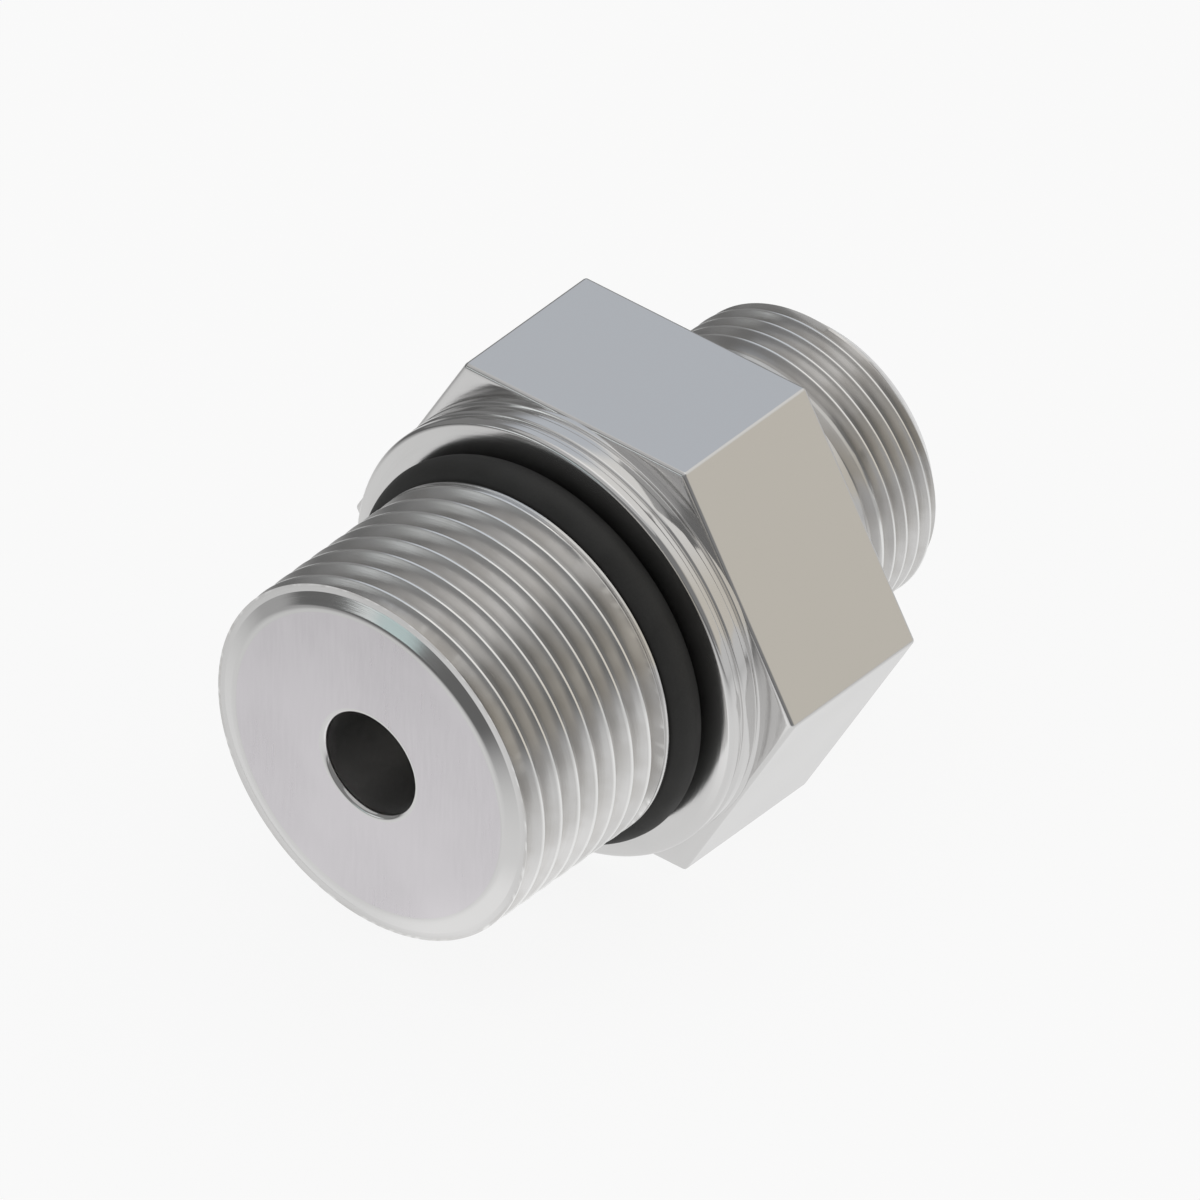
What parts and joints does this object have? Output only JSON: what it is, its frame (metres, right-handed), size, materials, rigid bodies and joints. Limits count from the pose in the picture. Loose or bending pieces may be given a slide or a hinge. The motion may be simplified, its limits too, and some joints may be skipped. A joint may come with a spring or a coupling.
{
  "type": "straight stud fitting",
  "caption": "Turned steel straight stud fitting: male stud thread with an O-ring against its collar, a spanner hexagon and a smaller male thread around a tube socket.",
  "frame": {"origin": "on the fitting's axis, in the plane of the collar's sealing face", "axes": "+Y along the axis from the stud to the tube end, +Z square to the hexagon's upper flat, X across the hexagon's corners"},
  "size_m": [0.0312, 0.0388, 0.027],
  "materials": {
    "steel": "fine turned, satin",
    "rubber": "matte black"
  },
  "bodies": {
    "root": {"fitting_body": "steel", "o_ring": "rubber"}
  },
  "joints": []
}
